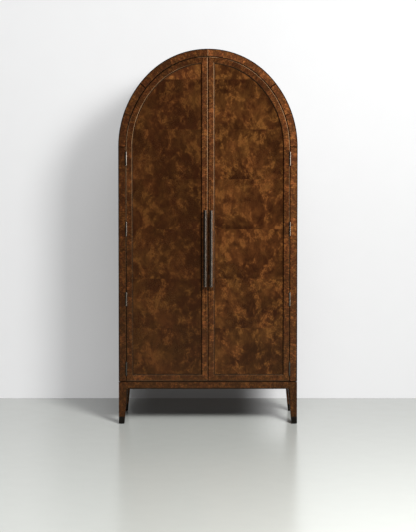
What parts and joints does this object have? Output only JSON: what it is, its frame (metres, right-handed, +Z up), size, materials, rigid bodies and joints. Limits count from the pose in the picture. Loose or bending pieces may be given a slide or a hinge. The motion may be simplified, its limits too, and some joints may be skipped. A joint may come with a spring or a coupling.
{
  "type": "cabinet",
  "caption": "Tall arch-topped double-door cabinet in mottled burl veneer, with recessed door panels, round bar pulls, butt hinges and a low base on tapered legs with metal foot caps.",
  "frame": {"origin": "on the floor, below the middle of the whole part's box, pulls included", "axes": "+X to the right as seen from the front, +Y from the doors to the back, +Z up"},
  "size_m": [1.016, 0.4995, 2.134],
  "materials": {
    "burl_panel": "satin lacquered burl veneer",
    "burl_crossband": "satin lacquered burl veneer, laid across",
    "case_veneer": "satin lacquered burl veneer",
    "back_board": "stained plywood",
    "inner_veneer": "satin straight-grained veneer",
    "plain_timber": "stained timber",
    "base_veneer": "satin lacquered veneer",
    "dark_bronze": "blackened",
    "bronze_pull": "aged bronze",
    "bronze_hinge": "aged bronze",
    "bronze_screws": "aged bronze",
    "steel": "plated",
    "black_nylon": "moulded"
  },
  "bodies": {
    "cabinet": {"front_left_stile": "burl_crossband", "front_right_stile": "burl_crossband", "arch_segment_left_1": "burl_crossband", "arch_segment_left_2": "burl_crossband", "arch_segment_left_3": "burl_crossband", "arch_segment_left_4": "burl_crossband", "arch_segment_right_1": "burl_crossband", "arch_segment_right_2": "burl_crossband", "arch_segment_right_3": "burl_crossband", "arch_segment_right_4": "burl_crossband", "left_side_panel": "case_veneer", "right_side_panel": "case_veneer", "arch_top": "case_veneer", "bottom_panel": "inner_veneer", "back_panel": "back_board", "back_panel_screws": "bronze_screws", "shelf_1": "inner_veneer", "shelf_2": "inner_veneer", "shelf_3": "inner_veneer", "shelf_4": "inner_veneer", "shelf_pins": "steel", "base_board": "plain_timber", "base_screws": "steel", "front_apron": "base_veneer", "rear_apron": "base_veneer", "left_apron": "base_veneer", "right_apron": "base_veneer", "corner_blocks": "plain_timber", "leg_front_left": "base_veneer", "leg_front_right": "base_veneer", "leg_rear_left": "base_veneer", "leg_rear_right": "base_veneer", "foot_caps": "dark_bronze", "foot_glides": "black_nylon", "hinge_frame_leaves": "bronze_hinge", "hinge_frame_screws": "bronze_screws", "hinge_pins": "bronze_hinge", "door_catches": "black_nylon"},
    "left_door": {"left_door_hinge_stile": "burl_crossband", "left_door_meeting_stile": "burl_crossband", "left_door_bottom_rail": "burl_crossband", "left_door_top_rail": "burl_crossband", "left_door_panel": "burl_panel", "left_door_hinge_leaves": "bronze_hinge", "left_door_hinge_screws": "bronze_screws", "left_pull_bar": "bronze_pull", "left_pull_posts": "bronze_pull", "left_pull_screws": "bronze_screws", "left_door_strike_plates": "steel"},
    "right_door": {"right_door_hinge_stile": "burl_crossband", "right_door_meeting_stile": "burl_crossband", "right_door_bottom_rail": "burl_crossband", "right_door_top_rail": "burl_crossband", "right_door_panel": "burl_panel", "right_door_hinge_leaves": "bronze_hinge", "right_door_hinge_screws": "bronze_screws", "right_pull_bar": "bronze_pull", "right_pull_posts": "bronze_pull", "right_pull_screws": "bronze_screws", "right_door_strike_plates": "steel"}
  },
  "joints": [
    {"name": "left_door_hinge", "type": "hinge", "parent": "cabinet", "child": "left_door", "pos_m": [-0.4645, -0.21124, 1], "axis": [0, 0, -1], "range_deg": [0, 175]},
    {"name": "right_door_hinge", "type": "hinge", "parent": "cabinet", "child": "right_door", "pos_m": [0.4645, -0.21124, 1], "axis": [0, 0, 1], "range_deg": [0, 175]}
  ]
}
